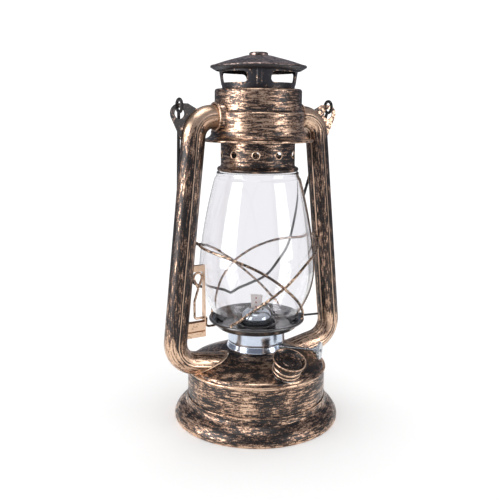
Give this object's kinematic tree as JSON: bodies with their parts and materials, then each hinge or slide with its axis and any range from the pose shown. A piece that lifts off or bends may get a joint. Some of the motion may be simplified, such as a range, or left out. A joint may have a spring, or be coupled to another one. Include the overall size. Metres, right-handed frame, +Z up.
{
  "type": "oil lantern",
  "caption": "Tubular oil lantern with a flared tank, side air tubes, a lifting glass globe, a sprung vent hood, a wick burner with its knob, a screw filler cap and a swinging wire bail.",
  "frame": {"origin": "on the lantern's axis, on the floor it stands on", "axes": "+Z up along the axis; +X towards the right air tube; -Y towards the filler cap (front); the bail hangs on +Y (back)"},
  "size_m": [0.1716, 0.143, 0.3097],
  "materials": {
    "antique_copper": "brushed antique copper plate on sheet steel",
    "dark_copper": "dark antique copper plate on steel",
    "bright_copper": "bright copper plate on steel",
    "chrome": "polished",
    "steel": "bright plated steel",
    "plate_grey": "glossy dark plate",
    "wire": "dark plated wire",
    "clear_glass": "clear blown glass",
    "cotton": "woven flat wick",
    "rubber": "matt"
  },
  "bodies": {
    "frame": {"base_skirt": "antique_copper", "tank_wall": "antique_copper", "tank_floor": "antique_copper", "tank_top": "antique_copper", "tank_neck": "steel", "filler_neck": "steel", "burner_collar": "chrome", "burner_deck": "steel", "burner_dome": "steel", "wick_tube": "steel", "shaft_bush": "steel", "left_tube": "antique_copper", "right_tube": "antique_copper", "left_ear": "dark_copper", "right_ear": "antique_copper", "lever_bracket": "bright_copper", "air_chamber": "antique_copper", "chamber_floor": "antique_copper", "bell_flange": "antique_copper", "hood_spring": "steel"},
    "carriage": {"globe_plate": "plate_grey", "glass_globe": "clear_glass", "guard_wire_left": "wire", "guard_wire_right": "wire", "plate_guide": "wire"},
    "hood": {"vent_collar": "antique_copper", "chimney_tube": "steel", "vent_crown": "dark_copper", "cap_roof": "dark_copper", "cap_button": "antique_copper"},
    "lever": {"lift_lever": "bright_copper"},
    "wick_drive": {"wick_shaft": "steel", "wick_sprockets": "steel", "wick_knob": "steel"},
    "wick_strip": {"wick": "cotton"},
    "filler_seal": {"filler_gasket": "rubber"},
    "filler_lid": {"filler_cap": "dark_copper"},
    "handle": {"bail": "dark_copper"}
  },
  "joints": [
    {"name": "bail_swing", "type": "hinge", "parent": "frame", "child": "handle", "pos_m": [0, 0, 0.2665], "axis": [1, 0, 0], "range_deg": [0, 325]},
    {"name": "globe_lift", "type": "slide", "parent": "frame", "child": "carriage", "axis": [0, 0, 1], "range_m": [0, 0.011], "deforming": ["hood_spring"]},
    {"name": "hood_lift", "type": "slide", "parent": "carriage", "child": "hood", "axis": [0, 0, 1], "range_m": [0, 0.009], "stiffness_N_per_m": 60, "springref_m": -0.01, "deforming": ["hood_spring"]},
    {"name": "lever_turn", "type": "hinge", "parent": "frame", "child": "lever", "pos_m": [-0.05, 0, 0.09425], "axis": [1, 0, 0], "range_deg": [0, 72.6]},
    {"name": "wick_turn", "type": "hinge", "parent": "frame", "child": "wick_drive", "pos_m": [-0.00461, -0.00415, 0.06564], "axis": [0.6691, -0.7431, 0], "range_deg": [-127, 38]},
    {"name": "wick_raise", "type": "slide", "parent": "frame", "child": "wick_strip", "axis": [0, 0, 1], "range_m": [-0.0101, 0.0031]},
    {"name": "cap_lift", "type": "slide", "parent": "frame", "child": "filler_seal", "axis": [0, -0.3779, 0.9258], "range_m": [0, 0.0061]},
    {"name": "cap_turn", "type": "hinge", "parent": "filler_seal", "child": "filler_lid", "pos_m": [0, -0.0485, 0.05252], "axis": [0, -0.3779, 0.9258], "range_deg": [0, 540]}
  ],
  "couplings": [
    {"joint": "lever_turn", "follows": "globe_lift", "rad_per_m": 115},
    {"joint": "wick_raise", "follows": "wick_turn", "m_per_rad": 0.0045},
    {"joint": "cap_lift", "follows": "cap_turn", "m_per_rad": 0.00063662}
  ]
}
